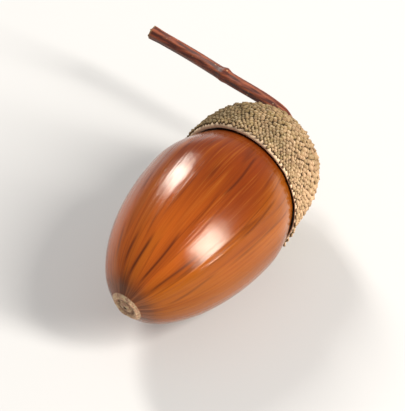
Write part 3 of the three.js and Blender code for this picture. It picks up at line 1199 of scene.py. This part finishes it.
@dataclass
class Cup:
    """The cup: a bowl with a slanted rim, clad in small overlapping scales in spiral rows.

    Attributes:
        axis: The acorn's axis and measures.
        nut: The nut, whose shape the bowl follows inside.
        rim_station: Where the rim's plane crosses the axis.
        rim_slant: Degrees by which that plane leans back at the top.
        rim_turn: Degrees by which the lean turns from straight up towards +Y.
        radius: Radius of the bowl.
        rim_reach: How far out from the bowl's radius the rim's slant is measured.
        shoulder: Exponents of the bowl's outline: along the axis and out to the side.
        flare: Depths, as shares of the bowl's, over which the side starts to follow the nut.
        flare_softness: How softly the bowl passes into that flare.
        rim_wall: Thickness of the wall at the rim, scales and all.
        seat_gap: Gap between the nut and the bowl.
        scale_depth: How far the scales stand out of the wall.
        scale_rise: Height of a scale at the base, as a share of that.
        wall_sink: How far below the outline the scales' backs lie.
        thin_base: How far from the base, out of 1, the scales are less deep.
        thin_rim: Where, out of 1, they are less deep again at the rim, and by what share.
        pitch: Spacing of the scales at the base and at the rim.
        pitch_change: How far from the base, out of 1, the spacing starts to change.
        stray: How far scales stray from their even places, as a share of the spacing.
        bald_base: Radius of the base under the stalk's collar, where no scale sits.
        seed: Seed of the straying.
        waver: Unevenness of the rim's edge.
        lumps: Unevenness of the bowl.
        lump_start: How far from the base, out of 1, that unevenness is full.
        crest: Fine unevenness of the lip.
        lip_least: Least half thickness of the lip.
        lip_height: Height of the lip, as a share of its half thickness.
        lip_sweep: Radians left out at each end of its round.
        lip_colour: How far from the base, out of 1, the lip's colour begins and is full.
        columns: Points round the wall.
        outside_rows: Rings on the wall's outside.
        lip_rows: Rings over the lip.
        inside_rows: Rings down the inside.
        floor_rows: Rings on the floor inside.
        floor_span: Shares of the floor's radius where its first and last rings lie.
        base_span: How far from the base, out of 1, the first ring outside lies.
    """

    axis: Axis
    nut: Nut
    rim_station: float = -5.87
    rim_slant: float = 9.0
    rim_turn: float = 13.0
    radius: float = 8.6
    rim_reach: float = 0.2
    shoulder: tuple[float, float] = (2.5, 2.4)
    flare: tuple[float, float] = (0.3, 0.45)
    flare_softness: float = 0.25
    rim_wall: float = 0.45
    seat_gap: float = 0.3
    scale_depth: float = 0.24
    scale_rise: float = 1.6
    wall_sink: float = 0.06
    thin_base: float = 0.12
    thin_rim: tuple[float, float] = (0.95, 0.15)
    pitch: tuple[float, float] = (0.68, 0.42)
    pitch_change: float = 0.55
    stray: float = 0.11
    bald_base: float = 1.25
    seed: int = 17
    waver: Waves = Waves(31, 9, (3, 14), 0.0, 0.1)
    lumps: Waves = Waves(41, 9, (2, 7), 0.25, 0.1)
    lump_start: float = 0.3
    crest: Waves = Waves(33, 14, (12, 40), 0.0, 0.05)
    lip_least: float = 0.08
    lip_height: float = 1.1
    lip_sweep: float = 0.15
    lip_colour: tuple[float, float] = (0.965, 0.998)
    columns: int = 220
    outside_rows: int = 64
    lip_rows: int = 9
    inside_rows: int = 34
    floor_rows: int = 10
    floor_span: tuple[float, float] = (0.9, 0.06)
    base_span: float = 0.03

    @property
    def depth(self) -> float:
        """Depth of the bowl from its rim's plane to its base."""
        return self.rim_station - self.axis.cup_base

    @property
    def floor_station(self) -> float:
        """Station of the floor inside, which the nut's scar sat on."""
        return self.axis.scar - self.seat_gap

    def rim_at(self, angle: np.ndarray) -> np.ndarray:
        """Station of the rim, with the slight waver of a grown edge.

        Args:
            angle: Angles round the axis.

        Returns:
            The station at each.
        """
        slant, turn = math.radians(self.rim_slant), math.radians(self.rim_turn)
        lean = math.tan(slant) * np.cos(angle - turn) * (self.radius + self.rim_reach)
        return self.rim_station - lean + self.waver.at(angle, 0.0)

    def outline(self, station: np.ndarray) -> np.ndarray:
        """Radius of the cup's outside over the scales: a bowl that flares to follow the nut.

        Args:
            station: Distances along the axis.

        Returns:
            The radius at each.
        """
        deep = np.clip((self.rim_station - station) / self.depth, 0.0, 1.0)
        bowl = self.radius * (1.0 - deep ** self.shoulder[0]) ** (1.0 / self.shoulder[1])
        flare = self.nut.radius_at(station) + self.seat_gap + self.rim_wall
        near_rim = 1.0 - smooth(*self.flare, deep)
        flared = 0.5 * (bowl + flare + np.hypot(bowl - flare, self.flare_softness))
        return bowl + (flared - bowl) * near_rim

    def wall(self, along: np.ndarray, angle: np.ndarray, sunk: float) -> np.ndarray:
        """Points of the bowl's outside.

        Args:
            along: How far from the base to the rim, from 0 to 1.
            angle: Angles round the axis.
            sunk: How far below the scales' backs.

        Returns:
            The points.
        """
        rim = self.rim_at(angle)
        station = self.axis.cup_base + (rim - self.axis.cup_base) * (1.0 - np.cos(along * math.pi / 2.0))
        lumps = self.lumps.at(angle, station) * smooth(0.0, self.lump_start, along)
        rim_start, rim_share = self.thin_rim
        thinner = 1.0 - rim_share * smooth(rim_start, 1.0, along)
        sunk_here = sunk * smooth(0.0, self.thin_base, along) * thinner
        sink_along = sunk * (1.0 - smooth(0.0, 0.5, along))
        radius = np.maximum(self.outline(station) - sunk_here + lumps - self.wall_sink, 0.0)
        return self.axis.place(station + sink_along, radius, angle)

    def build_wall(self) -> bpy.types.Object:
        """Builds the bowl.

        Returns:
            The bowl's piece, with the marks "lip" and "inside".
        """
        angle = round_turn(self.columns)[None, :]
        along = np.linspace(self.base_span, 1.0, self.outside_rows)[:, None]
        outside = self.wall(along, angle, self.scale_depth)
        lip = self.lip(outside[-1], angle)
        inside = self.inside(angle)
        rings = {CupPart.OUTSIDE: outside, CupPart.LIP: lip, CupPart.INSIDE: inside}
        part = np.repeat([name.value for name in rings], [len(rows) for rows in rings.values()])[:, None]
        whole = np.ones_like(angle)
        is_lip = (part == CupPart.LIP.value) * whole
        is_lip[: self.outside_rows] = smooth(*self.lip_colour, along)
        marks = {"lip": is_lip, "inside": (part == CupPart.INSIDE.value) * whole}
        first = self.axis.place(self.axis.cup_base + self.scale_depth, 0.0, 0.0)
        last = self.axis.place(self.floor_station, 0.0, 0.0)
        wall = ClosedSkin("cup_wall", np.vstack(list(rings.values())), first, last, marks).build()
        wall.data.materials.append(BowlFinish().material(self.axis))
        return wall

    def from_axis(self, points: np.ndarray) -> np.ndarray:
        """Distances of some points from the axis."""
        return np.hypot(points[..., 1], points[..., 2] - self.axis.height)

    def lip(self, outer_ring: np.ndarray, angle: np.ndarray) -> np.ndarray:
        """Rings over the rounded lip, from the outside to the inside.

        Args:
            outer_ring: The last ring of the wall's outside.
            angle: Angles round the axis.

        Returns:
            The rings.
        """
        edge = self.rim_at(angle)
        outer = self.from_axis(outer_ring)[None, :]
        inner = self.nut.radius_at(edge) + self.seat_gap
        middle, half = (outer + inner) / 2.0, np.maximum((outer - inner) / 2.0, self.lip_least)
        sweep = np.linspace(self.lip_sweep, math.pi - self.lip_sweep, self.lip_rows)[:, None]
        rise = (half * self.lip_height + self.crest.at(angle, 0.0)) * np.sin(sweep)
        return self.axis.place(edge + rise, middle + half * np.cos(sweep), angle)

    def inside(self, angle: np.ndarray) -> np.ndarray:
        """Rings from under the lip down the inside, and over the floor that the scar sat on.

        Args:
            angle: Angles round the axis.

        Returns:
            The rings.
        """
        edge = self.rim_at(angle)
        down = edge + (self.floor_station - edge) * eased(self.inside_rows)[1:, None]
        radius = self.nut.radius_at(np.maximum(down, self.axis.scar)) + self.seat_gap
        side = self.axis.place(down, radius, angle)
        share = np.linspace(*self.floor_span, self.floor_rows)[:, None]
        floor = self.axis.place(self.floor_station, self.from_axis(side[-1])[None, :] * share, angle)
        return np.vstack([side, floor])

    def seats(self) -> tuple[np.ndarray, np.ndarray]:
        """Places of the scales, spiralling from the base to the rim at the golden angle.

        Returns:
            How far along each scale sits, from 0 at the base to 1 at the rim, and its angle.
        """
        along = np.linspace(0.0, 1.0, FINE_STEPS)
        points = self.wall(along, np.full_like(along, math.pi / 2.0), 0.0)
        ring = self.from_axis(points)
        step = np.linalg.norm(np.diff(points, axis=0, prepend=points[:1]), axis=1)
        pitch = self.pitch_at(along)
        count = np.cumsum(2.0 * math.pi * ring * step / pitch**2)
        widening = slice(FINE_STEPS // 2)  # the half next to the base, where the bowl only widens
        start = np.interp(self.bald_base, ring[widening], count[widening])
        number = np.arange(math.ceil(start), int(count[-1]))
        draw = np.random.default_rng(self.seed)
        stray_number, stray_side = draw.normal(0.0, self.stray, (2, len(number)))
        spiral = np.interp(number, count, along)
        here = np.interp(spiral, along, ring)
        room = np.interp(spiral, along, pitch)
        travel = np.interp(spiral, along, np.gradient(np.cumsum(step), along))
        spiral = spiral + stray_number * room / travel
        angle = number * GOLDEN_ANGLE + stray_side * room / here
        kept = spiral < 1.0
        return spiral[kept], (angle % (2.0 * math.pi))[kept]

    def pitch_at(self, along: np.ndarray) -> np.ndarray:
        """Spacing of the scales, which get smaller towards the rim."""
        at_base, at_rim = self.pitch
        return at_base + (at_rim - at_base) * smooth(self.pitch_change, 1.0, along)

    def seat_cloud(self) -> bpy.types.Object:
        """A mesh of loose points, one for each scale, that holds how each scale is set.

        Returns:
            The cloud, with the marks "outward", "rimward" and "width".
        """
        along, angle = self.seats()
        here = self.wall(along, angle, self.scale_depth)
        ahead = self.wall(np.minimum(along + NEARBY, 1.0), angle, self.scale_depth)
        behind = self.wall(along - NEARBY, angle, self.scale_depth)
        beside = self.wall(along, angle + NEARBY, self.scale_depth)
        rimward = ahead - behind
        rimward /= np.linalg.norm(rimward, axis=1, keepdims=True)
        outward = np.cross(rimward, beside - here)
        outward /= np.linalg.norm(outward, axis=1, keepdims=True)
        centre = self.axis.place((self.rim_station + self.axis.cup_base) / 2.0, 0.0, 0.0)
        outward *= np.sign(np.einsum("ij,ij->i", outward, here - centre))[:, None]
        mesh = bpy.data.meshes.new("scale_seats")
        mesh.from_pydata((here * MM).tolist(), [], [])
        for name, vectors in (("outward", outward), ("rimward", rimward)):
            attribute = mesh.attributes.new(name, "FLOAT_VECTOR", "POINT")
            attribute.data.foreach_set("vector", vectors.astype(np.float32).ravel())
        width = mesh.attributes.new("width", "FLOAT", "POINT")
        width.data.foreach_set("value", (self.pitch_at(along) * MM).astype(np.float32))
        cloud = bpy.data.objects.new("scale_seats", mesh)
        bpy.context.scene.collection.objects.link(cloud)
        return cloud

    def build_scales(self) -> bpy.types.Object:
        """Builds the scales on the bowl.

        Returns:
            One piece that holds all the scales, with the marks "lift", "point" and "tint".
        """
        finish = ScaleFinish().material(self.axis)
        grower = ScaleGrower(height=self.scale_rise * self.scale_depth / self.pitch[0])
        return grower.grow(self.seat_cloud(), "cup_scales", finish)


@dataclass
class ScaleGrower:
    """Sets one small scale on each seat with Geometry Nodes, each a little different.

    Attributes:
        height: Height of a scale as a share of the spacing.
        breadth: Width of a scale as a share of the spacing.
        length: Length of a scale as a share of the spacing.
        lean: How far the tips stand off the wall, in radians.
        lean_range: Least and greatest lean of one scale, as shares of that.
        roll: Greatest roll of one scale to either side, in radians.
        swerve: Greatest turn of one scale out of its row, in radians.
        spread: How unlike each other the scales are, in size.
        seed: Seed of everything random.
        sides: Sides of a scale's outline.
        point_reach: How far the point stands out, as a share of half the scale's length.
        point_width: Half width of the point, in radians of the outline.
        point_start: Where along the scale the point's colour begins, and the length over which it grows.
        slope: How far the rings move towards the tip as they get smaller, as a share.
        crown: Where the top of the back lies along the scale.
        profile: Width, height and lift of each ring of a scale, from its foot up. Lift is 0 in the
            gaps between the scales and 1 on their backs.
    """

    height: float
    breadth: float = 1.12
    length: float = 1.55
    lean: float = 0.25
    lean_range: tuple[float, float] = (0.3, 1.7)
    roll: float = 0.15
    swerve: float = 0.35
    spread: float = 0.22
    seed: int = 11
    sides: int = 10
    point_reach: float = 0.42
    point_width: float = 0.45
    point_start: tuple[float, float] = (0.28, 0.3)
    slope: float = 0.4
    crown: float = 0.24
    profile: tuple[tuple[float, float, float], ...] = (
        (1.0, -0.45, 0.0), (0.95, 0.1, 0.25), (0.66, 0.78, 0.8),
    )

    def prototype(self) -> bpy.types.Object:
        """One scale of unit size, its tip towards +Y and its back towards +Z.

        Returns:
            The scale, with the marks "lift" and "point".
        """
        outline = round_turn(self.sides) + math.pi / self.sides
        pointed = 1.0 + self.point_reach * bell(outline - math.pi / 2.0, self.point_width)
        x, y = 0.5 * np.cos(outline), 0.5 * np.sin(outline) * pointed
        rings = [
            np.stack([x * width, y * width + (1.0 - width) * self.slope, np.full_like(x, height)], axis=1)
            for width, height, _ in self.profile
        ]
        points = np.vstack([*rings, (0.0, self.crown, 1.0)])
        faces = [tuple(reversed(range(self.sides)))]
        for first in range(0, (len(rings) - 1) * self.sides, self.sides):
            for i in range(self.sides):
                a, b = first + i, first + (i + 1) % self.sides
                faces.append((a, b, b + self.sides, a + self.sides))
        top = (len(rings) - 1) * self.sides
        faces += [(top + i, top + (i + 1) % self.sides, len(points) - 1) for i in range(self.sides)]
        mesh = bpy.data.meshes.new("scale")
        mesh.from_pydata(points.tolist(), [], faces)
        mesh.shade_smooth()
        lift = np.append(np.repeat([lift for _, _, lift in self.profile], self.sides), 1.0)
        start, growth = self.point_start
        point = np.clip((points[:, 1] - start) / growth, 0.0, 1.0)
        for name, values in (("lift", lift), ("point", point)):
            mesh.attributes.new(name, "FLOAT", "POINT").data.foreach_set("value", values.astype(np.float32))
        scale = bpy.data.objects.new("scale", mesh)
        bpy.context.scene.collection.objects.link(scale)
        return scale

    def tree(self) -> bpy.types.NodeTree:
        """The node tree that sets, turns and sizes the scales.

        Returns:
            The tree, with a named input for each size, the seed and the finish.
        """
        tree = bpy.data.node_groups.new("scale_rows", "GeometryNodeTree")
        for name, kind in (
            ("Seats", "NodeSocketGeometry"), ("Scale", "NodeSocketObject"), ("Breadth", "NodeSocketFloat"),
            ("Length", "NodeSocketFloat"), ("Height", "NodeSocketFloat"), ("Lean", "NodeSocketFloat"),
            ("Roll", "NodeSocketFloat"), ("Swerve", "NodeSocketFloat"), ("Spread", "NodeSocketFloat"),
            ("Seed", "NodeSocketInt"), ("Finish", "NodeSocketMaterial"),
        ):
            tree.interface.new_socket(name, in_out="INPUT", socket_type=kind)
        tree.interface.new_socket("Scales", in_out="OUTPUT", socket_type="NodeSocketGeometry")
        given = tree.nodes.new("NodeGroupInput").outputs

        def add(
            kind: str, settings: Mapping[str, object], sockets: Mapping[str | int, object]
        ) -> bpy.types.Node:
            """Adds any node.

            Args:
                kind: The node's type.
                settings: Its properties, set first.
                sockets: Values or links for its inputs, by name or number.

            Returns:
                The node.
            """
            node = tree.nodes.new(kind)
            for name, value in settings.items():
                setattr(node, name, value)
            for key, value in sockets.items():
                if isinstance(value, bpy.types.NodeSocket):
                    tree.links.new(value, node.inputs[key])
                else:
                    node.inputs[key].default_value = value
            return node

        def held(name: str, kind: str) -> bpy.types.NodeSocket:
            """A value that the seats hold by name."""
            return add("GeometryNodeInputNamedAttribute", {"data_type": kind}, {"Name": name}).outputs[0]

        def drawn(low: object, high: object, salt: int) -> bpy.types.NodeSocket:
            """Draws a random number for each seat.

            Args:
                low: The least that it may be.
                high: The most that it may be.
                salt: What sets this drawing apart from the others.

            Returns:
                The number.
            """
            seed = add("ShaderNodeMath", {"operation": "ADD"}, {0: given["Seed"], 1: float(salt)}).outputs[0]
            number = add("FunctionNodeRandomValue", {"data_type": "FLOAT"}, {2: low, 3: high, "Seed": seed})
            return number.outputs[1]

        def times(a: object, b: object) -> bpy.types.NodeSocket:
            """The product of two numbers."""
            return add("ShaderNodeMath", {"operation": "MULTIPLY"}, {0: a, 1: b}).outputs[0]

        def either_way(name: str, salt: int) -> bpy.types.NodeSocket:
            """A random number from minus a given value to plus that value."""
            return drawn(times(given[name], -1.0), given[name], salt)

        least = add("ShaderNodeMath", {"operation": "SUBTRACT"}, {0: 1.0, 1: given["Spread"]}).outputs[0]
        most = add("ShaderNodeMath", {"operation": "ADD"}, {0: 1.0, 1: given["Spread"]}).outputs[0]
        outward, rimward = held("outward", "FLOAT_VECTOR"), held("rimward", "FLOAT_VECTOR")
        upright = add("FunctionNodeAlignRotationToVector", {"axis": "Z"}, {"Vector": outward})
        facing = add(
            "FunctionNodeAlignRotationToVector", {"axis": "Y", "pivot_axis": "Z"},
            {"Rotation": upright.outputs[0], "Vector": rimward},
        )
        tilt = add("ShaderNodeCombineXYZ", {}, {
            0: times(given["Lean"], drawn(*self.lean_range, 1)),
            1: either_way("Roll", 2), 2: either_way("Swerve", 3),
        })
        twist = add("FunctionNodeEulerToRotation", {}, {0: tilt.outputs[0]}).outputs[0]
        turned = add(
            "FunctionNodeRotateRotation", {"rotation_space": "LOCAL"}, {0: facing.outputs[0], 1: twist}
        )
        width = held("width", "FLOAT")
        sizes = add("ShaderNodeCombineXYZ", {}, {
            axis: times(width, times(given[name], drawn(least, most, salt)))
            for axis, name, salt in ((0, "Breadth", 4), (1, "Length", 5), (2, "Height", 6))
        })
        shape = add("GeometryNodeObjectInfo", {}, {"Object": given["Scale"]})
        placed = add("GeometryNodeInstanceOnPoints", {}, {
            "Points": given["Seats"], "Instance": shape.outputs["Geometry"],
            "Rotation": turned.outputs[0], "Scale": sizes.outputs[0],
        })
        tinted = add(
            "GeometryNodeStoreNamedAttribute", {"data_type": "FLOAT", "domain": "INSTANCE"},
            {"Geometry": placed.outputs[0], "Name": "tint", "Value": drawn(0.0, 1.0, 7)},
        )
        real = add("GeometryNodeRealizeInstances", {}, {"Geometry": tinted.outputs[0]}).outputs[0]
        dressed = add("GeometryNodeSetMaterial", {}, {"Geometry": real, "Material": given["Finish"]})
        result = tree.nodes.new("NodeGroupOutput")
        tree.links.new(dressed.outputs[0], result.inputs[0])
        return tree

    def grow(self, seats: bpy.types.Object, name: str, finish: bpy.types.Material) -> bpy.types.Object:
        """Runs the tree on a cloud of seats.

        Args:
            seats: The cloud, which is used up.
            name: Name of the piece.
            finish: The scales' material.

        Returns:
            The scales as one plain mesh.
        """
        scale = self.prototype()
        tree = self.tree()
        modifier = seats.modifiers.new("scale_rows", "NODES")
        modifier.node_group = tree
        values = {
            "Scale": scale, "Breadth": self.breadth, "Length": self.length, "Height": self.height,
            "Lean": self.lean, "Roll": self.roll, "Swerve": self.swerve, "Spread": self.spread,
            "Seed": self.seed, "Finish": finish,
        }
        for item in tree.interface.items_tree:
            if item.in_out == "INPUT" and item.name in values:
                modifier[item.identifier] = values[item.name]
        seen = seats.evaluated_get(bpy.context.evaluated_depsgraph_get())
        mesh = bpy.data.meshes.new_from_object(seen)
        mesh.name = name
        seats.modifiers.remove(modifier)
        for used in (seats, scale):
            bpy.data.objects.remove(used)
        places = np.empty(len(mesh.vertices) * 3, np.float32)
        mesh.vertices.foreach_get("co", places)
        places[2::3] = np.maximum(places[2::3], 0.0)  # nothing sinks into what the acorn lies on
        mesh.vertices.foreach_set("co", places)
        piece = bpy.data.objects.new(name, mesh)
        bpy.context.scene.collection.objects.link(piece)
        return piece


# ---------------------------------------------------------------- the stalk


@dataclass
class Stalk:
    """The stub of stalk: a collar on the cup's base, a bend, a knot and a broken end.

    Attributes:
        axis: The acorn's axis and measures.
        radius: Radius of the stalk.
        route: Points that it runs through, from its start at the cup's base.
        collar: How far along the collar reaches, from 0 to 1.
        waist: How far along the slight waist after it lies, its width, and its depth as a share of
            the radius.
        knot: How far along its one knot lies, from 0 to 1.
        knot_height: How far the knot stands out, as a share of the radius.
        knot_width: Width of the knot, as a share of the stalk's length.
        frayed: Where the broken end starts to swell, and by what share of the radius.
        root: How far the stalk reaches into the cup's base.
        ribs: Ridges round the stalk, and the radians that they wind along it.
        rib_height: How high they are, as a share of the radius.
        unevenness: Unevenness of its radius, as a share of it.
        torn: Unevenness of its broken end.
        tears: Shares of the radius at which the broken end's rings lie.
        tear_rate: How fast the unevenness of the broken end changes towards its middle.
        edge_tear: How far the broken end's edge stands out and in.
        end_tear: How far the rest of the broken end stands out and in.
        end_dome: How far the last ring of the broken end would stand out at its middle.
        end_middle: How far its middle does.
        columns: Points round the stalk.
        rows: Rings along it.
        route_steps: Points of the curve between two points of the route.
    """

    axis: Axis
    radius: float = 0.8
    route: tuple[tuple[float, float, float], ...] = (
        (0.0, 0.0, 0.0), (1.5, 0.4, 0.1), (2.6, 2.0, 0.3), (3.2, 5.2, 0.6), (3.6, 10.2, 0.9),
        (4.4, 16.4, 1.1), (4.7, 22.7, 1.6),
    )
    collar: float = 0.085
    waist: tuple[float, float, float] = (0.12, 0.04, 0.06)
    knot: float = 0.55
    knot_height: float = 0.18
    knot_width: float = 0.02
    frayed: tuple[float, float] = (0.93, 0.1)
    root: float = 0.75
    ribs: tuple[float, float] = (7.0, 5.0)
    rib_height: float = 0.035
    unevenness: Waves = Waves(61, 9, (2, 8), 9.0, 0.03)
    torn: Waves = Waves(71, 12, (1, 11), 3.0)
    tears: tuple[float, ...] = (0.93, 0.8, 0.62, 0.42, 0.22)
    tear_rate: float = 3.0
    edge_tear: float = 0.16
    end_tear: float = 0.28
    end_dome: float = 0.22
    end_middle: float = 0.15
    columns: int = 40
    rows: int = 190
    route_steps: int = 40

    def path(self, share: np.ndarray) -> np.ndarray:
        """Points of the smooth curve through the route.

        Args:
            share: How far along each point lies, from 0 to 1 by length.

        Returns:
            The points, in millimetres.
        """
        start = np.array([self.axis.stalk_start, 0.0, self.axis.height])
        through = start + np.array([(-self.root, 0.0, 0.0), *self.route])
        before, after = 2.0 * through[0] - through[1], 2.0 * through[-1] - through[-2]
        guides = np.vstack([before, through, after])
        pieces = []
        for i in range(1, len(guides) - 2):
            t = np.linspace(0.0, 1.0, self.route_steps, endpoint=i == len(guides) - 3)[:, None]
            a, b, c, d = guides[i - 1 : i + 3]
            # A Catmull-Rom curve from b to c, which a and d guide.
            bend, twist = 2 * a - 5 * b + 4 * c - d, 3 * b - a - 3 * c + d
            pieces.append(0.5 * (2 * b + (c - a) * t + bend * t**2 + twist * t**3))
        curve = np.vstack(pieces)
        length = np.concatenate([[0.0], np.cumsum(np.linalg.norm(np.diff(curve, axis=0), axis=1))])
        return np.stack([np.interp(share * length[-1], length, curve[:, i]) for i in range(3)], axis=1)

    def radius_at(self, share: np.ndarray, angle: np.ndarray) -> np.ndarray:
        """Radius of the stalk, with its collar, knot, ribs and unevenness.

        Args:
            share: How far along, from 0 to 1.
            angle: Angles round the stalk.

        Returns:
            The radius at each point.
        """
        collar = (1.0 - smooth(0.0, self.collar, share)) ** 2
        lopsided = 1.0 + 0.5 * np.cos(angle - 1.0)
        knot = self.knot_height * bell(share - self.knot, self.knot_width) * lopsided
        fray_start, fray_height = self.frayed
        frayed = fray_height * smooth(fray_start, 1.0, share)
        waist_place, waist_width, waist_depth = self.waist
        waist = waist_depth * bell(share - waist_place, waist_width)
        uneven = self.rib_height * self.ribs_at(share, angle) + self.unevenness.at(angle, share)
        return self.radius * (1.0 + collar + knot + frayed - waist + uneven)

    def ribs_at(self, share: np.ndarray, angle: np.ndarray) -> np.ndarray:
        """Height of the ribs, from -1 to 1."""
        return np.cos(self.ribs[0] * angle + self.ribs[1] * share)

    def build(self) -> bpy.types.Object:
        """Builds the stalk.

        Returns:
            The stalk's piece, with the marks "broken" and "ridge".
        """
        share = np.linspace(0.0, 1.0, self.rows)
        angle = round_turn(self.columns)[None, :]
        centre = self.path(share)
        along = np.gradient(centre, axis=0)
        along /= np.linalg.norm(along, axis=1, keepdims=True)
        side = np.cross(along, (0.0, 0.0, 1.0))
        side /= np.linalg.norm(side, axis=1, keepdims=True)
        up = np.cross(side, along)
        radius = self.radius_at(share[:, None], angle)
        spokes = np.cos(angle)[..., None] * side[:, None, :] + np.sin(angle)[..., None] * up[:, None, :]
        rings = centre[:, None, :] + radius[..., None] * spokes
        ends = []
        for shrink in self.tears:
            jag = self.end_tear * self.torn.at(angle, shrink * self.tear_rate)
            jag = jag + self.end_dome * (1.0 - shrink)
            ring = centre[-1] + radius[-1][None, :, None] * shrink * spokes[-1][None]
            ends.append(ring + jag[..., None] * along[-1])
        rings[-1] += self.edge_tear * self.torn.at(angle, self.tear_rate)[0][:, None] * along[-1]
        rings = np.vstack([rings, *ends])
        broken = np.zeros(rings.shape[:2])
        broken[self.rows - 1 :] = 1.0
        broken[self.rows - 2] = 0.4  # a soft edge to the bark
        ridge = np.vstack([self.ribs_at(share[:, None], angle), np.zeros((len(ends), self.columns))])
        marks = {"broken": broken, "ridge": ridge * 0.5 + 0.5}
        middle = centre[-1] + self.end_middle * along[-1]
        stalk = ClosedSkin("stalk_bark", rings, centre[0], middle, marks).build()
        stalk.data.materials.append(BarkFinish().material(self.axis))
        return stalk


# ---------------------------------------------------------------- the studio


@dataclass(frozen=True)
class SoftBox:
    """A soft lamp that faces the acorn.

    Attributes:
        name: Name of the lamp.
        towards: Direction from the acorn to the lamp.
        distance: How far off it is, in metres.
        size: Its width and height, in metres.
        power: Its power, in watts.
        tint: Its colour.
    """

    name: str
    towards: tuple[float, float, float]
    distance: float
    size: tuple[float, float]
    power: float
    tint: Colour = colour("fffaf2")

    def build(self, aim: Vector) -> None:
        """Adds the lamp.

        Args:
            aim: The point that it faces.
        """
        lamp = bpy.data.lights.new(self.name, "AREA")
        lamp.shape = "RECTANGLE"
        lamp.size, lamp.size_y = self.size
        lamp.energy = self.power
        lamp.color = self.tint[:3]
        piece = bpy.data.objects.new(self.name, lamp)
        away = Vector(self.towards).normalized()
        turn = away.to_track_quat("Z", "Y").to_matrix().to_4x4()
        piece.matrix_world = Matrix.Translation(aim + away * self.distance) @ turn
        bpy.context.scene.collection.objects.link(piece)


@dataclass
class Studio:
    """A pale floor, plain soft light and the camera.

    Attributes:
        azimuth: Direction that the camera stands in, in degrees: 0 looks along +Y.
        elevation: Its height above the horizon, in degrees.
        distance: Its distance from the acorn's middle, in metres.
        view: Width of what it sees there, in metres.
        clip: Nearest and farthest distance that it sees, in metres.
        boxes: The lamps.
        floor_half: Half the floor's width, in metres.
        floor_tone: The floor's colour.
        floor_roughness: How rough it is.
        floor_gloss: How strongly it reflects.
        sky_tone: Colour of the light from all round.
        sky_strength: Its strength.
    """

    azimuth: float = -56.5
    elevation: float = 45.0
    distance: float = 1.0
    view: float = 0.05
    clip: tuple[float, float] = (0.01, 20.0)
    boxes: tuple[SoftBox, ...] = (
        SoftBox("high_box", (0.415, 0.671, 0.614), 0.7, (0.12, 0.28), 4.1),
        SoftBox("side_box", (0.115, -0.817, 0.565), 0.6, (0.13, 0.39), 6.0),
    )
    floor_half: float = 2.0
    floor_tone: Colour = colour("cbcbcb")
    floor_roughness: float = 0.8
    floor_gloss: float = 0.2
    sky_tone: Colour = colour("f4f6fa")
    sky_strength: float = 0.35

    def build(self) -> None:
        """Builds the floor, the lamps, the surroundings and the camera."""
        low, high = (Vector(corner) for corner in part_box("nut"))
        self.build_floor()
        for box in self.boxes:
            box.build((low + high) / 2.0)
        world = bpy.data.worlds.new("studio")
        world.use_nodes = True
        sky = world.node_tree.nodes["Background"]
        sky.inputs["Color"].default_value = self.sky_tone
        sky.inputs["Strength"].default_value = self.sky_strength
        bpy.context.scene.world = world
        bpy.context.scene.view_settings.view_transform = "Standard"
        self.build_camera()

    def build_floor(self) -> None:
        """Builds the pale floor."""
        half = self.floor_half
        mesh = bpy.data.meshes.new("floor")
        corners = [(-half, -half, 0.0), (half, -half, 0.0), (half, half, 0.0), (-half, half, 0.0)]
        mesh.from_pydata(corners, [], [(0, 1, 2, 3)])
        floor = bpy.data.objects.new("floor", mesh)
        bpy.context.scene.collection.objects.link(floor)
        material = bpy.data.materials.new("floor_paper")
        material.use_nodes = True
        skin = material.node_tree.nodes["Principled BSDF"]
        skin.inputs["Base Color"].default_value = self.floor_tone
        skin.inputs["Roughness"].default_value = self.floor_roughness
        skin.inputs["Specular IOR Level"].default_value = self.floor_gloss
        mesh.materials.append(material)

    def build_camera(self) -> None:
        """Adds the camera, which looks from the studio's own direction at the middle of what it sees."""
        turn, rise = math.radians(self.azimuth), math.radians(self.elevation)
        away = Vector((math.sin(turn) * math.cos(rise), -math.cos(turn) * math.cos(rise), math.sin(rise)))
        spin = away.to_track_quat("Z", "Y").to_matrix()
        boxes = [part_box(node) for node in ("nut", "cup", "stalk")]
        corners = [spin.transposed() @ Vector(c) for box in boxes for c in itertools.product(*zip(*box))]
        seen = [[corner[i] for corner in corners] for i in range(3)]
        middle = spin @ Vector([(min(row) + max(row)) / 2.0 for row in seen])
        lens = bpy.data.cameras.new("camera")
        lens.lens = lens.sensor_width * self.distance / self.view
        lens.clip_start, lens.clip_end = self.clip
        camera = bpy.data.objects.new("camera", lens)
        camera.matrix_world = Matrix.Translation(middle + away * self.distance) @ spin.to_4x4()
        bpy.context.scene.collection.objects.link(camera)
        bpy.context.scene.camera = camera


# ---------------------------------------------------------------- assembly


def settle(piece: bpy.types.Object, node: str) -> None:
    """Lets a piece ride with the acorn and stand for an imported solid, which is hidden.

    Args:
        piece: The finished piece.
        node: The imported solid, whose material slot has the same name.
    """
    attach(piece, BODY)
    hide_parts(node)
    faces = len(piece.data.polygons)
    log.info("%s stands for %s with %d faces", piece.name, node, faces)


def main() -> None:
    """Builds the studio and then the acorn, piece by piece."""
    logging.basicConfig(level=logging.INFO, format="%(name)s: %(message)s")
    Studio().build()
    axis = Axis.from_frame()
    nut = Nut(axis)
    cup = Cup(axis, nut)
    settle(nut.build(), "nut")
    settle(cup.build_wall(), "cup")
    settle(cup.build_scales(), "cup")
    settle(Stalk(axis).build(), "stalk")


if __name__ == "__main__":
    main()
